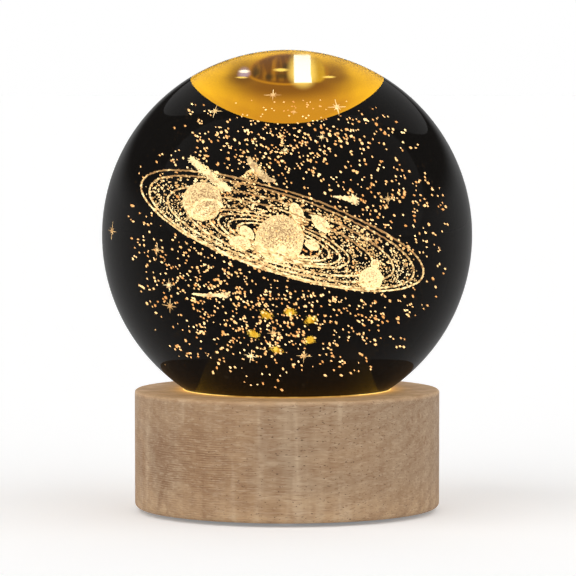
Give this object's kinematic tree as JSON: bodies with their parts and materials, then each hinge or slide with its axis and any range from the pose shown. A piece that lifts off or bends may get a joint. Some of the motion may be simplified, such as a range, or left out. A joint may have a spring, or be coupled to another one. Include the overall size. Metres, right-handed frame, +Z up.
{
  "type": "crystal ball lamp",
  "caption": "Night lamp with a solid glass ball, engraved inside with a planetary system, resting in a round wooden base that lights it from below.",
  "frame": {"origin": "on the table, on the axis of the ball and base, at the underside of the foot pads", "axes": "+Z up through the ball's centre, -Y the side that the picture shows, +Y the side with the power socket and the button"},
  "size_m": [0.08, 0.08, 0.0997],
  "materials": {
    "crystal_glass": "polished optical glass that reads near black unlit",
    "turned_wood": "fine-grained pale tan wood, satin oiled",
    "white_board": "white solder mask",
    "led_package_white": "moulded white",
    "led_phosphor_yellow": "warm phosphor resin, lit",
    "resistor_black": "glazed ceramic",
    "plated_steel": "nickel plated",
    "green_board": "green solder mask",
    "black_plastic": "moulded black",
    "plunger_ivory": "moulded ivory",
    "button_grey": "fine-textured dark grey",
    "cover_plastic": "fine-textured black",
    "wire_red": "insulation",
    "wire_black": "insulation",
    "pad_rubber": "soft foam rubber"
  },
  "bodies": {
    "base": {"wooden_base": "turned_wood", "led_board": "white_board", "led_package_1": "led_package_white", "led_package_2": "led_package_white", "led_package_3": "led_package_white", "led_package_4": "led_package_white", "led_package_5": "led_package_white", "led_package_6": "led_package_white", "led_phosphor_1": "led_phosphor_yellow", "led_phosphor_2": "led_phosphor_yellow", "led_phosphor_3": "led_phosphor_yellow", "led_phosphor_4": "led_phosphor_yellow", "led_phosphor_5": "led_phosphor_yellow", "led_phosphor_6": "led_phosphor_yellow", "resistor_1": "resistor_black", "resistor_2": "resistor_black", "resistor_3": "resistor_black", "led_board_screw_1": "plated_steel", "led_board_screw_2": "plated_steel", "led_board_screw_3": "plated_steel", "port_board": "green_board", "port_board_screw_1": "plated_steel", "port_board_screw_2": "plated_steel", "usb_shell": "plated_steel", "usb_insulator": "black_plastic", "switch_housing": "black_plastic", "wire_positive": "wire_red", "wire_negative": "wire_black", "bottom_cover": "cover_plastic", "cover_screw_1": "plated_steel", "cover_screw_2": "plated_steel", "cover_screw_3": "plated_steel", "foot_pad_1": "pad_rubber", "foot_pad_2": "pad_rubber", "foot_pad_3": "pad_rubber", "foot_pad_4": "pad_rubber"},
    "ball": {"crystal_ball": "crystal_glass"},
    "button": {"switch_plunger": "plunger_ivory", "button_cap": "button_grey"}
  },
  "joints": [
    {"name": "ball_lift", "type": "slide", "parent": "base", "child": "ball", "axis": [0, 0, 1], "range_m": [0, 0.04]},
    {"name": "button_press", "type": "slide", "parent": "base", "child": "button", "axis": [0, -1, 0], "range_m": [0, 0.0012], "stiffness_N_per_m": 800}
  ]
}
